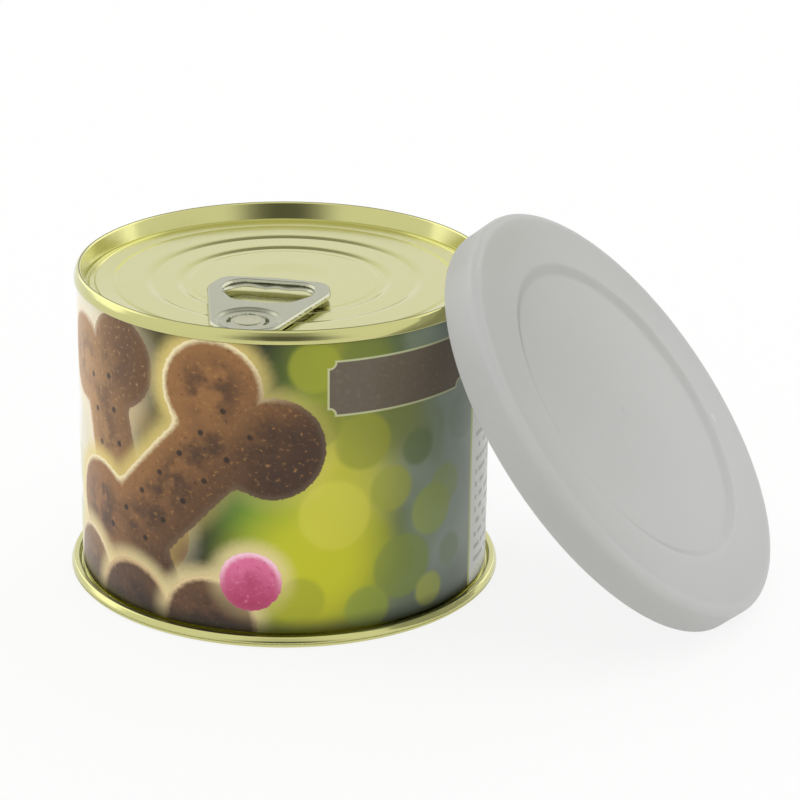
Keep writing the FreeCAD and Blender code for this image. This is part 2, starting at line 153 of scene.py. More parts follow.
def finish_with(tree, shader):
    """Join a shader to the surface of a new material output."""
    node(tree, "ShaderNodeOutputMaterial", links={"Surface": shader})


board = bpy.data.meshes.new("floor")
board.from_pydata([(-1.5, -1.0, 0.0), (1.5, -1.0, 0.0), (1.5, 2.0, 0.0), (-1.5, 2.0, 0.0)],
                  [], [(0, 1, 2, 3)])
floor = bpy.data.objects.new("floor", board)
bpy.context.collection.objects.link(floor)
# Matt white laminate: plain dielectric, IOR 1.5, roughness 0.6. The eye gets an
# even white with a soft shadow under the can and the lid.
stuff, tree = material("white_laminate")
paint = node(tree, "ShaderNodeBsdfPrincipled",
             {"Base Color": linear("#eeeeec"), "Roughness": 0.6, "IOR": 1.5})
rays = node(tree, "ShaderNodeLightPath")
seen = reckon(tree, "MAXIMUM", rays.outputs["Is Camera Ray"], rays.outputs["Is Glossy Ray"])
seen = reckon(tree, "MAXIMUM", seen, rays.outputs["Is Transmission Ray"])
even_white = 0.84
share = reckon(tree, "MULTIPLY", seen, even_white)
white = node(tree, "ShaderNodeEmission", {"Color": linear("#ffffff"), "Strength": 1.0})
table = node(tree, "ShaderNodeMixShader",
             links={0: share, 1: paint.outputs[0], 2: white.outputs[0]})
finish_with(tree, table.outputs[0])
board.materials.append(stuff)


# ------------------------------------------------------------------ tin body
# The drawn steel can, gold lacquered. Only a hair of it shows, above and below
# the label; it stands in the base seam and carries the ring-pull end.

mm = 0.001


def soft_line(points, bends=10):
    """A profile through points (r, z, radius) in mm, each corner replaced by the
    arc of its radius that touches both runs: the arc starts radius*tan(turn/2)
    before the corner. Short support steps stand beside every arc."""
    out = []
    count = len(points)
    for i, (x, y, radius) in enumerate(points):
        here = np.array((x, y), float)
        before = np.array(points[(i - 1) % count][:2], float) - here
        after = np.array(points[(i + 1) % count][:2], float) - here
        if radius <= 0:
            out.append(here[None])
            continue
        la, lb = np.linalg.norm(before), np.linalg.norm(after)
        a, b = before / la, after / lb
        turn = math.pi - math.acos(float(np.clip(a @ b, -1, 1)))
        back = radius * math.tan(turn / 2)
        middle = here + (a + b) / np.linalg.norm(a + b) * math.hypot(radius, back)
        first = here + a * back - middle
        last = here + b * back - middle
        side = np.sign(first[0] * last[1] - first[1] * last[0])
        t = np.linspace(0, turn, bends + 1) * side
        arc = middle + np.stack((first[0] * np.cos(t) - first[1] * np.sin(t),
                                 first[0] * np.sin(t) + first[1] * np.cos(t)), 1)
        ease = 0.12 * radius
        lead = [here + a * (back + ease)] if la > back + 2 * ease else []
        tail = [here + b * (back + ease)] if lb > back + 2 * ease else []
        out.append(np.array(lead + list(arc) + tail))
    return np.concatenate(out)


def turned_grid(line, steps, start=0.0):
    """Points (steps, along, 3) of a line (r, z) turned once about the upright axis."""
    angle = start + np.arange(steps) * (2 * math.pi / steps)
    r, z = line[:, 0][None], line[:, 1][None]
    return np.stack((r * np.cos(angle)[:, None], r * np.sin(angle)[:, None],
                     np.broadcast_to(z, (steps, len(line)))), 2)


def skin(name, grid, ring=True, uv=None):
    """A closed mesh from a grid (around, along, 3) in mm, round and round the
    first way. With ring the last point along joins the first; without it the
    first and last points along are the two poles, one vertex each."""
    steps, along, _ = grid.shape
    here = np.arange(steps)[:, None]
    nxt = (here + 1) % steps
    if ring:
        j = np.arange(along)[None]
        k = (j + 1) % along
        faces = np.stack((here * along + j, nxt * along + j, nxt * along + k, here * along + k), 2)
        faces = faces.reshape(-1, 4)
        points = grid.reshape(-1, 3)
        loops, sizes = faces.ravel(), np.full(len(faces), 4)
    else:
        inner = along - 2
        points = np.concatenate((grid[:, 1:-1].reshape(-1, 3), grid[:1, 0], grid[:1, -1]))
        j = np.arange(inner - 1)[None]
        quads = np.stack((here * inner + j, nxt * inner + j,
                          nxt * inner + j + 1, here * inner + j + 1), 2).reshape(-1, 4)
        low, high = steps * inner, steps * inner + 1
        h, n = here[:, 0], nxt[:, 0]
        low_fan = np.stack((np.full(steps, low), n * inner, h * inner), 1)
        high_fan = np.stack((np.full(steps, high), h * inner + inner - 1, n * inner + inner - 1), 1)
        fans = np.concatenate((low_fan, high_fan))
        loops = np.concatenate((quads.ravel(), fans.ravel()))
        sizes = np.concatenate((np.full(len(quads), 4), np.full(len(fans), 3)))
    mesh = bpy.data.meshes.new(name)
    mesh.vertices.add(len(points))
    mesh.vertices.foreach_set("co", (points * mm).astype(np.float32).ravel())
    mesh.loops.add(len(loops))
    mesh.loops.foreach_set("vertex_index", loops.astype(np.int32))
    mesh.polygons.add(len(sizes))
    starts = np.concatenate(((0,), np.cumsum(sizes)[:-1]))
    mesh.polygons.foreach_set("loop_start", starts.astype(np.int32))
    mesh.update(calc_edges=True)
    if uv is not None:
        layer = mesh.uv_layers.new(name="wrap")
        layer.data.foreach_set("uv", uv.astype(np.float32).ravel())
    mesh.validate()
    mesh.shade_smooth()
    made = bpy.data.objects.new(name, mesh)
    bpy.context.collection.objects.link(made)
    return made


def settle(piece, material_, node_name, crease=40.0):
    """Give a piece its material, its sharp edges and its body, and hide the CAD node it stands in for."""
    piece.data.materials.append(material_)
    piece.data.set_sharp_from_angle(angle=math.radians(crease))
    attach(piece, "root")
    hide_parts(node_name)


def size_of(name):
    """A node's lowest and highest corners, in mm."""
    low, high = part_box(name)
    return np.array(low) / mm, np.array(high) / mm


def divide(line, gap):
    """The same line with every run longer than the gap cut into equal steps."""
    parts = []
    for p, q in zip(line[:-1], line[1:]):
        steps = max(1, math.ceil(np.linalg.norm(q - p) / gap))
        parts.append(np.linspace(p, q, steps, endpoint=False))
    return np.concatenate(parts + [line[-1:]])


def sheet_metal(name, code, rough, coat, grain):
    """Rolled sheet: metal colour, a roughness that drifts along the rolling
    direction, waves 9 mm long from the press and an orange peel of 0.4 mm."""
    made, tree = material(name)
    coords = node(tree, "ShaderNodeTexCoord")
    place = coords.outputs["Object"]
    stretch = node(tree, "ShaderNodeMapping", {"Scale": (2200.0, 90.0, 2200.0)}, {"Vector": place})
    rolled = node(tree, "ShaderNodeTexNoise", {"Scale": 1.0, "Detail": 2.0},
                  {"Vector": stretch.outputs[0]})
    spread = node(tree, "ShaderNodeMapRange",
                  {"From Min": 0.3, "From Max": 0.7, "To Min": rough - grain, "To Max": rough + grain},
                  {"Value": rolled.outputs[0]})
    waves = node(tree, "ShaderNodeTexNoise", {"Scale": 110.0, "Detail": 1.0}, {"Vector": place})
    swell = node(tree, "ShaderNodeBump", {"Strength": 0.5, "Distance": 0.0001},
                 {"Height": waves.outputs[0]})
    peel = node(tree, "ShaderNodeTexNoise", {"Scale": 2500.0, "Detail": 1.0}, {"Vector": place})
    skin_bump = node(tree, "ShaderNodeBump", {"Strength": 0.25, "Distance": 0.0000015},
                     {"Height": peel.outputs[0], "Normal": swell.outputs[0]})
    shader = node(tree, "ShaderNodeBsdfPrincipled",
                  {"Base Color": linear(code), "Metallic": 1.0,
                   "Coat Weight": coat, "Coat Roughness": 0.1},
                  {"Roughness": spread.outputs[0], "Normal": skin_bump.outputs[0]})
    finish_with(tree, shader.outputs[0])
    return made


# Gold lacquered tinplate: full metal that keeps the metal's own IOR, roughness
# 0.15 to 0.19 under a thin clear lacquer. The eye gets a pale greenish gold, deeper
# where one wall mirrors another, with faint rolling lines and pressed waves.
gold = sheet_metal("gold_lacquered_tinplate", "#c8c683", 0.17, 0.4, 0.02)
low, high = size_of("can_body")
body_r = high[0]
plug = body_r - 0.4         # the ends' plugs, hidden inside the wall
foot_gap, head_gap = 1.0, 2.36      # room for them inside the body's ends
body_line = soft_line([
    (0, low[2] + foot_gap, 0), (plug, low[2] + foot_gap, 0), (plug, low[2], 0), (body_r, low[2], 0.1),
    (body_r, high[2], 0.1), (plug, high[2], 0), (plug, high[2] - head_gap, 0),
    (0, high[2] - head_gap, 0)])
tin_body = skin("tin_body", turned_grid(body_line, 360), ring=False)
settle(tin_body, gold, "can_body")


# ------------------------------------------------------------------ base seam
# The bottom end: a pressed steel disc with one raised ring, curled over the
# body's foot into a round double seam that the can stands on.

low, high = size_of("base_end")
seam_r, seam_top = high[0], high[2]
recess = 2.6                # the panel above the table
ring_rise = 0.5             # the pressed ring above the panel
fold = 2.0                  # the roll's top, where it folds in to the wall
base_line = soft_line([
    (0, recess, 0), (21.6, recess, 1), (22.6, recess + ring_rise, 0.8), (25.4, recess + ring_rise, 0.8),
    (26.4, recess, 1), (35.6, recess, 0.5), (35.9, 0.0, 0.5), (seam_r, 0.0, 0.85), (seam_r, 1.15, 1.0),
    (seam_r - 0.5, fold, 0.35), (37.3, fold, 0.35), (37.1, 1.0, 0.15), (body_r + 0.06, 1.0, 0),
    (body_r + 0.02, fold, 0), (plug, fold, 0), (plug, seam_top, 0), (0, seam_top, 0)], 8)
base_seam = skin("base_seam", turned_grid(base_line, 360), ring=False)
settle(base_seam, gold, "base_end")


# ------------------------------------------------------------------ ring-pull end
# The top end, one pressing: double seam over the body, chuck wall down to the
# sink, then the panel with its tear line, raised ring, steps and finger dish.

low, high = size_of("pull_end")
seam_out, ridge, under = high[0], high[2], low[2]
panel_depth = 3.1
seam_wide, seam_tall = 1.2, 2.34
wall_lean = 0.55            # how far the chuck wall leans in
panel = ridge - panel_depth
foot = seam_out - seam_wide - wall_lean
outer_ring, raised, lower = panel + 0.46, panel + 0.32, panel - 0.02
well, centre = panel - 0.34, panel - 0.27
sink = panel - 0.08
rivet_out, rivet_turn = 26.7, math.radians(256.75)
rivet = rivet_out * np.array((math.cos(rivet_turn), math.sin(rivet_turn)))
tab_turn = math.radians(-12.5)
dish_reach = 28.4           # rivet to the middle of the finger dish
dish_deep = 0.18


def from_rivet(x, y):
    """Places in the tab's own frame: +y runs from the rivet to the ring."""
    dx, dy = x - rivet[0], y - rivet[1]
    return (dx * math.cos(tab_turn) + dy * math.sin(tab_turn),
            dy * math.cos(tab_turn) - dx * math.sin(tab_turn))


def ease(value, start, stop):
    """3t^2 - 2t^3, where t runs 0 to 1 between start and stop."""
    t = np.clip((value - start) / (stop - start), 0.0, 1.0)
    return t * t * (3 - 2 * t)


end_top = soft_line([
    (0, centre, 0), (16.4, centre, 1.2), (17.0, well, 0.8), (18.0, well, 0.8), (19.1, lower, 3.0),
    (23.3, lower, 0.8), (24.5, raised, 4.0), (29.8, raised, 0.6), (30.4, panel + 0.17, 0.4),
    (33.2, outer_ring, 0.3), (33.3, outer_ring, 0.04), (33.45, panel + 0.25, 0.04),
    (33.6, outer_ring - 0.05, 0.04), (foot - 0.98, outer_ring - 0.1, 0.3), (foot - 0.67, sink, 0.15),
    (foot - 0.42, sink, 0.15), (seam_out - seam_wide, ridge, 0.35), (seam_out - 0.62, ridge, 0.5),
    (seam_out, ridge - 1.35, 3.0), (seam_out, ridge - seam_tall, 0.3), (plug, ridge - seam_tall, 0)], 7)
end_line = np.concatenate((divide(end_top, 0.5), [(plug, under), (0, under)]))
end_grid = turned_grid(end_line[::-1], 400)
tab_x, tab_y = from_rivet(end_grid[..., 0], end_grid[..., 1])
panel_r = 33
off_axis = np.hypot(end_grid[..., 0], end_grid[..., 1])
on_panel = (end_grid[..., 2] > under + 0.5) & (off_axis < panel_r)
dish = dish_deep * (1 - ease(np.hypot(tab_x, tab_y - dish_reach), 3.0, 8.6))
boss = (panel + 0.45 - end_grid[..., 2]) * (1 - ease(np.hypot(tab_x, tab_y), 3.6, 4.8))
end_grid[..., 2] += np.where(on_panel, boss - dish, 0.0)
pull_end = skin("can_end", end_grid, ring=False)
settle(pull_end, gold, "pull_end")


# ------------------------------------------------------------------ rivet
# The end's own metal, drawn up through the tab and flattened over it.

low, high = size_of("pull_tab")
tab_foot, tab_top = low[2], high[2]
island_sink = 0.45          # the tab's dished island below its rim
island = tab_top - island_sink
head_r = 2.3
rivet_line = divide(soft_line([
    (0, island + 0.1, 0), (1.5, island + 0.1, 0.5), (1.7, island + 0.13, 0.4),
    (head_r, island + 0.13, 0.1), (head_r, island - 0.02, 0.05), (0, island - 0.02, 0)], 8), 0.3)
rivet_grid = turned_grid(rivet_line[::-1], 96)
rivet_grid[..., :2] += rivet
rivet_head = skin("rivet_head", rivet_grid, ring=False)
# Worn gold lacquer: full metal that keeps its own IOR, roughness 0.23 to 0.29, the
# lacquer rubbed thin where the rivet was flattened. The eye gets a duller, paler gold.
worn_gold = sheet_metal("worn_gold_lacquer", "#b7b696", 0.26, 0.1, 0.03)
settle(rivet_head, worn_gold, "pull_end")


# ------------------------------------------------------------------ pull tab
# The ring that opens the can: bright tinplate whose edge is curled under all
# round and round the finger hole, with a dished island cut by a C slot and
# held by the rivet.

hole_middle = np.array((0.0, 14.6))


def ray_lengths(outline, middle, angles):
    """How far a closed outline lies from a point along each angle."""
    loop = divide(np.concatenate((outline, outline[:1])), 0.05)
    rel = loop - middle
    a, r = np.arctan2(rel[:, 1], rel[:, 0]), np.hypot(rel[:, 0], rel[:, 1])
    order = np.argsort(a)
    wrapped = np.mod(angles + math.pi, 2 * math.pi) - math.pi
    return np.interp(wrapped, a[order], r[order], period=2 * math.pi)


def edge_distance(outline, x, y):
    """The distance from points to the nearest point of a closed outline."""
    loop = divide(np.concatenate((outline, outline[:1])), 0.15)
    best = np.full(x.shape, 1e9)
    for px, py in loop:
        best = np.minimum(best, (x - px) ** 2 + (y - py) ** 2)
    return np.sqrt(best)


tab_edge = soft_line([(-5.3, -5.7, 5), (5.3, -5.7, 5), (11.1, 15.8, 6), (9.6, 21.5, 3), (0, 22.4, 14),
                      (-9.6, 21.5, 3), (-11.1, 15.8, 6)], 16)
hole_edge = soft_line([(0, 8.75, 14), (4.9, 9.7, 3), (8.6, 15.0, 5), (6.8, 20, 3.2), (-6.8, 20, 3.2),
                       (-8.6, 15.0, 5), (-4.9, 9.7, 3)], 16)
# Rays from the hole's middle, set closer together towards the island.
rays_round = 640
even = np.linspace(-math.pi, math.pi, 4001)
weight = np.cumsum(1 + 2.2 * np.exp(-(even / 0.45) ** 2))
weight = (weight - weight[0]) / (weight[-1] - weight[0])
angles = np.interp(np.arange(rays_round) / rays_round, weight, even) - math.pi / 2
outer = ray_lengths(tab_edge, hole_middle, angles)[:, None]
inner = ray_lengths(hole_edge, hole_middle, angles)[:, None]
thick = tab_top - tab_foot
curl = thick / 2
near_rim = curl * (1 - np.cos(np.linspace(0, math.pi / 2, 11)))
between = inner + curl + (outer - inner - 2 * curl) * np.linspace(0, 1, 64)[1:-1]
top_r = np.concatenate((inner + near_rim, between, outer - near_rim[::-1]), 1)
across = top_r * np.cos(angles)[:, None] + hole_middle[0]
along = top_r * np.sin(angles)[:, None] + hole_middle[1]
rim = np.minimum(edge_distance(tab_edge, across, along), edge_distance(hole_edge, across, along))
fall = curl - np.sqrt(np.maximum(0.0, curl ** 2 - (curl - np.minimum(rim, curl)) ** 2))
ring_out = np.hypot(across, along)
fall += island_sink * (1 - ease(ring_out, 4.5, 5.9))
# The C slot goes round the rivet and is open towards the nose.
slot_r, slot_deep = 3.3, 0.75
swing = np.abs(np.arctan2(across, along))
slot = 1 - ease(np.abs(ring_out - slot_r), 0.16, 0.36)
fall += slot_deep * slot * (1 - ease(swing, math.radians(112), math.radians(118)))
top_z = thick - fall
round_off = np.linspace(0, math.pi / 2, 9)[1:]
outer_r = outer - curl * (1 - np.cos(round_off))[None]
outer_z = np.broadcast_to(curl * (1 - np.sin(round_off)), (rays_round, len(round_off)))
turned_in = 1.2             # width of the edge that is curled under
under_r = np.concatenate((outer - turned_in, inner + turned_in), 1)
under_z = np.full((rays_round, 2), 0.05)
# The hem inside the hole is wide and a little uneven at its far side.
lip = 0.8 + 0.3 * np.sin(7 * angles + 1.0)[:, None]
lip = 0.25 + lip * ease(np.sin(angles), 0.1, 0.8)[:, None]
hem = np.array([(-1.0, 0.0), (0.7, 0.0), (0.96, 0.05), (1.0, 0.13),
                (0.9, 0.26), (0.55, 0.44), (0.1, 0.56), (-0.2, 0.6)])
inner_r = inner - lip * hem[:, 0][None]
inner_z = np.broadcast_to(hem[:, 1], (rays_round, len(hem)))
from_hole = np.concatenate((top_r, outer_r, under_r, inner_r), 1)
local_z = np.concatenate((top_z, outer_z, under_z, inner_z), 1)
lx = hole_middle[0] + from_hole * np.cos(angles)[:, None]
ly = hole_middle[1] + from_hole * np.sin(angles)[:, None]
tab_grid = np.stack((rivet[0] + lx * math.cos(tab_turn) - ly * math.sin(tab_turn),
                     rivet[1] + lx * math.sin(tab_turn) + ly * math.cos(tab_turn),
                     tab_foot + local_z), 2)
tab = skin("pull_tab_metal", tab_grid[::-1])
# Bright tinplate: full metal that keeps its own IOR, roughness 0.21 to 0.27, no
# lacquer. The eye gets a soft cool silver with fine rolling lines.
steel = sheet_metal("bright_tinplate", "#adae97", 0.24, 0.0, 0.03)
settle(tab, steel, "pull_tab")


# ------------------------------------------------------------------ label
# Printed paper round the body, 0.12 mm thick, lapped and glued at the back.

low, high = size_of("label")
wrap_r, wrap_low, wrap_high = high[0], low[2], high[2]
wrap_in = body_r + 0.01
label_line = soft_line([(wrap_in, wrap_low, 0), (wrap_r, wrap_low, 0.03), (wrap_r, wrap_high, 0.03),
                        (wrap_in, wrap_high, 0)], 3)
around = 480
lap = math.radians(74 - 360)    # the compass angle of the paper's ends
label_grid = turned_grid(label_line, around, lap)
turns = np.arange(around + 1) * (2 * math.pi / around) + lap
k = (np.arange(len(label_line)) + 1) % len(label_line)
corner_u = np.stack((turns[:-1], turns[1:], turns[1:], turns[:-1]), 1)[:, None] * wrap_r
corner_v = np.stack((label_line[:, 1], label_line[:, 1],
                     label_line[k, 1], label_line[k, 1]), 1)[None]
wrap_uv = np.stack(np.broadcast_arrays(corner_u, corner_v), 3)
label = skin("label_wrap", label_grid, uv=wrap_uv)

stuff, tree = material("printed_label_paper")
coords = node(tree, "ShaderNodeTexCoord")
print_uv = coords.outputs["UV"]
spot = node(tree, "ShaderNodeSeparateXYZ", links={0: print_uv})
wrap_u, wrap_v = spot.outputs[0], spot.outputs[1]


def maths(operation, *terms):
    """One Math node of the label's tree on sockets and plain numbers."""
    return reckon(tree, operation, *terms)


def fade(value, start, stop, first=0.0, last=1.0):
    """A smooth run of the label's tree from first to last between start and stop."""
    return smooth_run(tree, value, start, stop, first, last)


def lay(under_colour, code, mask):
    """Lay one colour over what is there, where the mask is 1: an ink of the print, or a painted shade."""
    made = node(tree, "ShaderNodeMix", {7: linear(code)}, {0: mask, 6: under_colour},
                data_type="RGBA")
    return made.outputs[2]


def apart(u, v, source=None):
    """The distance in mm from a place on the wrap."""
    return node(tree, "ShaderNodeVectorMath", {1: (u, v, 0.0)}, {0: source or print_uv},
                operation="DISTANCE").outputs["Value"]


def away(u, v):
    """The step on the wrap from a place, as a vector."""
    return node(tree, "ShaderNodeVectorMath", {1: (u, v, 0.0)}, {0: print_uv},
                operation="SUBTRACT").outputs[0]


def length(x, y):
    """The length of a flat vector given by its two parts."""
    pair = node(tree, "ShaderNodeCombineXYZ", links={0: x, 1: y}).outputs[0]
    return node(tree, "ShaderNodeVectorMath", links={0: pair}, operation="LENGTH").outputs["Value"]


def bands(code_stops, value, start, stop):
    """Colours in a soft row, each at its place between start and stop."""
    share = node(tree, "ShaderNodeMapRange", {"From Min": start, "From Max": stop}, {"Value": value})
    made = node(tree, "ShaderNodeValToRGB", links={0: share.outputs[0]})
    made.color_ramp.interpolation = "EASE"
    row = made.color_ramp.elements
    while len(row) < len(code_stops):
        row.new(0.5)
    for element, (place, code) in zip(row, code_stops):
        element.position = (place - start) / (stop - start)
        element.color = linear(code)
    return made.outputs[0]


# The blurred meadow: ink colours by their place in mm round the wrap, which is 0
# at +X and -57.7 in front, swayed up to 13 mm either way, with a dark patch high
# up in front and a mossy shade along the foot to the right of it.
drift = node(tree, "ShaderNodeTexNoise", {"Scale": 0.06, "Detail": 1.0},
             {"Vector": print_uv}).outputs[0]
swayed = maths("ADD", wrap_u, maths("MULTIPLY", maths("SUBTRACT", drift, 0.5), 26.0))
meadow_start, meadow_end = -184.0, -16.0
label_colour = bands([(-184, "#8f9c86"), (-150, "#dfe3da"), (-112, "#f6f6f2"), (-103, "#e9e2cb"),
              (-94, "#c4a877"), (-82, "#5b5228"), (-70, "#2b3012"), (-62, "#3c5f22"),
              (-56, "#7f9226"), (-50, "#8f9629"), (-45, "#78842f"), (-38.5, "#64724c"),
              (-32, "#7f8a74"), (-25, "#8d998d"), (-16, "#98a298")],
             swayed, meadow_start, meadow_end)
patch = maths("MULTIPLY", fade(wrap_u, -76.0, -66.0), fade(wrap_u, -62.0, -50.0, 1.0, 0.15))
label_colour = lay(label_colour, "#24271a", maths("MULTIPLY", fade(wrap_v, 34.0, 56.0, 0.0, 0.95), patch))
label_colour = lay(label_colour, "#3a4430", maths("MULTIPLY", fade(wrap_v, 14.0, 2.0, 0.0, 0.6),
                                  fade(wrap_u, -66.0, -50.0)))
# Wide soft glows: place round and up in mm, radius, softness, ink and its share.
for u, v, radius, soft, code, much in (
        (-60, 24, 10, 8, "#277a2d", 0.9), (-53, 15, 15, 10, "#cccb22", 0.85),
        (-47, 29, 10, 7, "#cfcb3e", 0.7), (-38, 40, 8, 5, "#7d8232", 0.5)):
    label_colour = lay(label_colour, code, fade(apart(u, v), radius - soft, radius + soft / 2, much, 0.0))
# Out-of-focus lights: place round and up in mm, radius, ink and its share.
for u, v, radius, code, much in (
        (-44, 36.5, 5.2, "#93962e", 0.75), (-52, 40, 4.0, "#7c8228", 0.7),
        (-49, 23.5, 6.4, "#d3d04a", 0.55), (-38.5, 27, 4.2, "#9aa038", 0.7),
        (-36, 12, 6.0, "#7f8e38", 0.7), (-29.5, 21, 4.8, "#92a04e", 0.75),
        (-26.2, 24.5, 4.0, "#8b9850", 0.6), (-55, 8, 4.4, "#a6a826", 0.8),
        (-43, 5.5, 4.2, "#8c9a3a", 0.85), (-30, 6.0, 3.2, "#a3aa46", 0.8),
        (-52.5, 50.5, 4.6, "#9ba02c", 0.8), (-33, 33.5, 3.4, "#66744a", 0.8),
        (-24.5, 12, 3.0, "#7a8a66", 0.6), (-21, 36, 4.5, "#82907e", 0.6),
        (-61.5, 37, 3.6, "#4c6a26", 0.8), (-110, 10, 5.0, "#c5cc9d", 0.7),
        (-108, 22, 4.0, "#dbdbb5", 0.7), (-172, 15, 7.0, "#b4c07c", 0.7),
        (-161, 40, 9.0, "#a4b274", 0.6), (-150, 21, 6.0, "#c6cd96", 0.7),
        (-139, 36, 4.6, "#d3d8ae", 0.8), (-129, 12, 8.0, "#dde0c4", 0.7),
        (-124, 46, 5.0, "#d0d6a8", 0.7), (-168, 51, 3.6, "#93a35f", 0.7),
        (-145, 50, 3.0, "#bcc58a", 0.7), (-156, 7, 4.0, "#8f9f58", 0.6),
        (40, 12, 5.0, "#a9b56e", 0.7), (39, 38, 6.0, "#b7c183", 0.6), (43, 26, 3.0, "#7f9048", 0.6)):
    label_colour = lay(label_colour, code, fade(apart(u, v), radius - 0.7, radius + 0.5, much, 0.0))

crumb = node(tree, "ShaderNodeTexNoise", {"Scale": 1.1, "Detail": 6.0, "Roughness": 0.6},
             {"Vector": print_uv}).outputs[0]
mottle = node(tree, "ShaderNodeTexNoise", {"Scale": 0.22, "Detail": 3.0},
              {"Vector": print_uv}).outputs[0]
rough_edge = maths("MULTIPLY", maths("SUBTRACT", crumb, 0.5), 0.9)


def baked(label_colour, depth, across, reach, codes, glow):
    """Print one baked treat with the light behind it. The depth is negative
    inside its edge and across runs from its dark side to its lit side: a warm
    glow outside, a lit rim, and a crust that darkens inwards and downwards.
    The codes are the rim, the crust, its dark side and its pale crumbs."""
    rim_ink, crust, dark, pale = codes
    lit = fade(across, -reach, reach, 0.25, 1.0)
    label_colour = lay(label_colour, glow, maths("MULTIPLY", fade(depth, 3.6, 0.0, 0.0, 0.8), lit))
    label_colour = lay(label_colour, crust, fade(depth, 0.12, -0.12))
    for mask, part in ((fade(depth, 0.12, -0.12), fade(across, reach * 0.7, -reach, 0.0, 0.92)),
                       (fade(depth, -1.0, -7.0, 0.0, 0.75), fade(mottle, 0.35, 0.62))):
        label_colour = lay(label_colour, dark, maths("MULTIPLY", mask, part))
    label_colour = lay(label_colour, pale, maths("MULTIPLY", fade(depth, -0.6, -1.4), fade(crumb, 0.55, 0.75, 0.0, 0.7)))
    label_colour = lay(label_colour, dark, maths("MULTIPLY", fade(depth, -0.4, -1.0), fade(crumb, 0.42, 0.3, 0.0, 0.6)))
    rim = maths("MULTIPLY", fade(depth, 0.15, -0.1), fade(depth, -1.3, -0.1))
    facing = fade(across, -reach * 0.5, reach * 0.8, 0.05, 1.0)
    return lay(label_colour, rim_ink, maths("MULTIPLY", rim, facing))


def bone(label_colour, u, v, tilt, half_long, half_wide, knob, codes, glow):
    """A bone-shaped biscuit: a bar blended into four round knobs, with two rows
    of pricked holes along it."""
    local = node(tree, "ShaderNodeVectorRotate", {"Angle": -math.radians(tilt)},
                 {"Vector": away(u, v)}, rotation_type="Z_AXIS").outputs[0]
    parts = node(tree, "ShaderNodeSeparateXYZ", links={0: local})
    x, y = maths("ABSOLUTE", parts.outputs[0]), maths("ABSOLUTE", parts.outputs[1])
    bar = maths("MAXIMUM", maths("SUBTRACT", y, half_wide), maths("SUBTRACT", x, half_long))
    folded = node(tree, "ShaderNodeCombineXYZ", links={0: x, 1: y}).outputs[0]
    knobs = maths("SUBTRACT", apart(half_long, half_wide * 0.95, folded), knob)
    depth = maths("ADD", maths("SMOOTH_MIN", bar, knobs, 3.0), rough_edge)
    label_colour = baked(label_colour, depth, parts.outputs[1], half_wide + knob * 0.6, codes, glow)
    step = maths("WRAP", parts.outputs[0], 3.0, -3.0)
    hole = length(step, maths("SUBTRACT", y, half_wide * 0.42))
    hole = maths("MULTIPLY", fade(hole, 0.75, 0.35), fade(x, half_long, half_long - 1.0))
    return lay(label_colour, "#1d130c", maths("MULTIPLY", hole, fade(depth, -1.0, -2.0, 0.0, 0.85)))


label_colour = bone(label_colour, -93.0, 31.0, 104.0, 15.0, 7.0, 8.4,
            ("#f6ead0", "#b78a55", "#5f4128", "#d2ab74"), "#f3e8c6")
label_colour = bone(label_colour, -78.0, 27.0, 47.0, 19.0, 7.6, 9.2,
            ("#f8e9b8", "#96693c", "#36241a", "#b8864d"), "#e9d27c")
# Round biscuits at the foot, and a small pink one.
for u, v, radius, codes in (
        (-101, 5, 8.0, ("#f0dcb0", "#8a6642", "#3a2a1e", "#b08a5c")),
        (-87, 2, 9.0, ("#d9b98a", "#5c412c", "#241b16", "#7d5c3e")),
        (-71, 3, 8.6, ("#e8cf9c", "#664730", "#261d17", "#8a6644")),
        (-63.5, 11.5, 5.4, ("#ffd0e0", "#e0709a", "#a82c58", "#ee9ab8"))):
    above = node(tree, "ShaderNodeSeparateXYZ", links={0: away(u, v)}).outputs[1]
    depth = maths("SUBTRACT", maths("ADD", apart(u, v), rough_edge), radius)
    label_colour = baked(label_colour, depth, above, radius, codes, "#ecd9a0")

# Painted shade darkens the label towards its foot, and the print shows the edge of the lap at the back.
label_colour = lay(label_colour, "#15170f", fade(wrap_v, 5.5, 2.2, 0.0, 0.7))
label_colour = lay(label_colour, "#6d7462", fade(wrap_u, -182.7, -183.0, 0.0, 0.8))

# The plain tag: a ticket with scooped corners and a pale keyline, left bare.
tag_half_wide, tag_half_tall, scoop_r = 13.9, 4.7, 1.3
tag_x = maths("SUBTRACT", maths("ABSOLUTE", maths("ADD", wrap_u, 36.2)), tag_half_wide)
tag_y = maths("SUBTRACT", maths("ABSOLUTE", maths("SUBTRACT", wrap_v, 46.5)), tag_half_tall)
scoop = maths("SUBTRACT", scoop_r, length(tag_x, tag_y))
tag = maths("MAXIMUM", maths("MAXIMUM", tag_x, tag_y), scoop)
label_colour = lay(label_colour, "#c9cba0", fade(tag, 0.4, 0.2, 0.0, 0.8))
label_colour = lay(label_colour, "#665b4d", fade(tag, 0.05, -0.15))
label_colour = lay(label_colour, "#766a5b", maths("MULTIPLY", fade(tag, -0.2, -0.6), fade(crumb, 0.5, 0.75)))

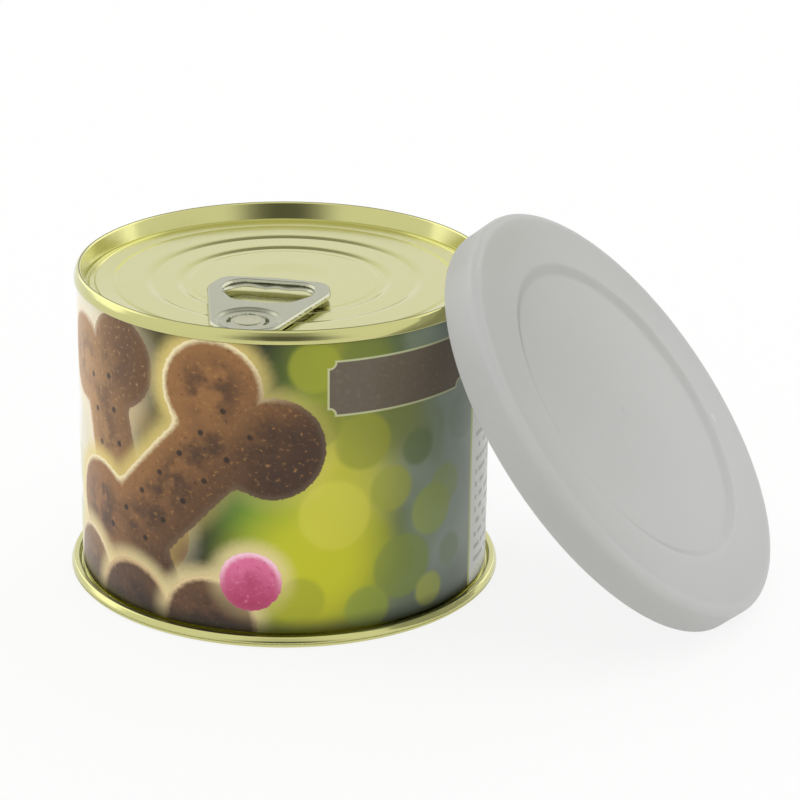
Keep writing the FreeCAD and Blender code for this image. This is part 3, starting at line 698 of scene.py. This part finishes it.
# The white side panel behind a pale green line, with rows of small grey bars.
label_colour = lay(label_colour, "#f2f3ee", maths("MULTIPLY", fade(wrap_u, -17.2, -17.0), fade(wrap_u, 34.2, 34.0)))
label_colour = lay(label_colour, "#c6d07c", maths("MULTIPLY", fade(wrap_u, -17.9, -17.5), fade(wrap_u, -16.9, -17.1)))
row_step = 2.4
row = maths("FRACT", maths("DIVIDE", wrap_v, row_step))
row_number = maths("FLOOR", maths("DIVIDE", wrap_v, row_step))
row_place = node(tree, "ShaderNodeCombineXYZ", links={0: maths("MULTIPLY", wrap_u, 0.55),
                                                     1: maths("MULTIPLY", row_number, 7.3)})
words = node(tree, "ShaderNodeTexNoise", {"Scale": 1.0, "Detail": 0.0},
             {"Vector": row_place.outputs[0]}).outputs[0]
row_mask = maths("MULTIPLY", fade(row, 0.3, 0.36), fade(row, 0.74, 0.68))
line_mask = maths("MULTIPLY", row_mask, fade(words, 0.42, 0.45))
column = maths("MULTIPLY", maths("MULTIPLY", fade(wrap_u, -15.2, -15.0), fade(wrap_u, 30.0, 29.8)),
               maths("MULTIPLY", fade(wrap_v, 4.0, 4.1), fade(wrap_v, 31.3, 31.2)))
label_colour = lay(label_colour, "#a9aca6", maths("MULTIPLY", line_mask, maths("MULTIPLY", column, 0.8)))
# Satin coated label paper: IOR 1.5, roughness 0.27 to 0.4 with a trace of varnish.
# The eye gets the print with a faint window of light on it, and fine fibre in the
# gloss.
fibre = node(tree, "ShaderNodeTexNoise", {"Scale": 2.0, "Detail": 4.0}, {"Vector": print_uv})
satin = node(tree, "ShaderNodeMapRange", {"To Min": 0.27, "To Max": 0.4},
             {"Value": fibre.outputs[0]})
tooth = node(tree, "ShaderNodeBump", {"Strength": 0.15, "Distance": 0.00002},
             {"Height": fibre.outputs[0]})
paint = node(tree, "ShaderNodeBsdfPrincipled",
             {"IOR": 1.5, "Specular IOR Level": 0.3, "Coat Weight": 0.1, "Coat Roughness": 0.2},
             {"Base Color": label_colour, "Roughness": satin.outputs[0], "Normal": tooth.outputs[0]})
finish_with(tree, paint.outputs[0])
settle(label, stuff, "label")


# ------------------------------------------------------------------ snap lid
# A translucent polyethylene lid for the opened can: skirt with a snap ring,
# flat shoulder, one step down to the middle disc. It leans on the can's rim.

lean, lean_turn = math.radians(50.3), math.radians(-21.2)
axis = np.array((math.sin(lean) * math.cos(lean_turn), math.sin(lean) * math.sin(lean_turn),
                 math.cos(lean)))
level = np.array((-math.sin(lean_turn), math.cos(lean_turn), 0.0))
down = np.cross(level, axis)
middle = np.array((55.161, -13.566, 30.974))    # the open rim's centre
lid_out, lid_in = 40.4, 39.55
skirt = 6.9                                     # open rim to the shoulder's top
disc_top, disc_under, shoulder_under = 5.9, 5.05, 6.05
lid_line = divide(soft_line([
    (0, 6.0, 0), (0.7, 6.0, 0.05), (0.8, disc_top, 0.05), (27.7, disc_top, 1.6), (29.5, skirt, 1.6),
    (lid_out, skirt, 1.6), (lid_out, 0, 0.25), (lid_in, 0, 0.2), (39.05, 0.8, 0.5),
    (lid_in, 1.6, 0.2), (lid_in, shoulder_under, 0.75), (29.9, shoulder_under, 1.4),
    (28.1, disc_under, 1.4), (0, disc_under, 0)], 10), 2.0)
flat = turned_grid(lid_line[::-1], 400)
leant = middle + flat[..., 0:1] * down + flat[..., 1:2] * level + flat[..., 2:3] * axis
lid = skin("snap_lid_shell", leant, ring=False)
# Milky low-density polyethylene: IOR 1.51, roughness 0.2 to 0.3, and light soaks a
# few millimetres in. The eye gets a cool grey haze with faint clouds in it; painted
# light makes its colour paler on the skirt and towards the table, for light through the wall.
stuff, tree = material("milky_polyethylene")
coords = node(tree, "ShaderNodeTexCoord")
spot = coords.outputs["Object"]
cloud = node(tree, "ShaderNodeTexNoise", {"Scale": 60.0, "Detail": 3.0}, {"Vector": spot})
tall = node(tree, "ShaderNodeSeparateXYZ", links={0: spot})
# Painted light: the grey turns paler towards the table, standing in for light coming up through the wall.
clear = smooth_run(tree, tall.outputs[2], 0.05, 0.004, 0.0, 1.0)
drawn = node(tree, "ShaderNodeMath", {1: 0.25}, {0: cloud.outputs[0], 2: clear},
             operation="MULTIPLY_ADD")
cloud_grey_and_light = node(tree, "ShaderNodeMix", {6: linear("#cacac8"), 7: linear("#d4d4d3")},
              {0: drawn.outputs[0]}, data_type="RGBA")
# The distance from the lid's axis, in metres, picks out the skirt, whose colour is painted paler as
# painted light.
offset = node(tree, "ShaderNodeVectorMath", {1: tuple(middle * mm)}, {0: spot}, operation="SUBTRACT")
offset = node(tree, "ShaderNodeVectorMath", {1: tuple(axis)}, {0: offset.outputs[0]},
              operation="CROSS_PRODUCT")
offset = node(tree, "ShaderNodeVectorMath", links={0: offset.outputs[0]}, operation="LENGTH")
painted_skirt_light = smooth_run(tree, offset.outputs["Value"], 0.0382, 0.0403, 0.0, 1.0)
haze_and_painted_light = node(tree, "ShaderNodeMix", {7: linear("#dfdfde")}, {0: painted_skirt_light, 6: cloud_grey_and_light.outputs[2]},
            data_type="RGBA")
matte = node(tree, "ShaderNodeMapRange", {"To Min": 0.2, "To Max": 0.3}, {"Value": cloud.outputs[0]})
pebble = node(tree, "ShaderNodeTexNoise", {"Scale": 1800.0, "Detail": 1.0}, {"Vector": spot})
texture = node(tree, "ShaderNodeBump", {"Strength": 0.2, "Distance": 0.00002},
               {"Height": pebble.outputs[0]})
shell = node(tree, "ShaderNodeBsdfPrincipled",
             {"IOR": 1.51, "Subsurface Weight": 0.8, "Subsurface Radius": (0.004, 0.004, 0.004),
              "Subsurface Scale": 1.0},
             {"Base Color": haze_and_painted_light.outputs[2], "Roughness": matte.outputs[0], "Normal": texture.outputs[0]})
through = node(tree, "ShaderNodeBsdfTranslucent", links={"Color": haze_and_painted_light.outputs[2]})
both = node(tree, "ShaderNodeMixShader", {0: 0.5}, {1: shell.outputs[0], 2: through.outputs[0]})
finish_with(tree, both.outputs[0])
settle(lid, stuff, "snap_lid")
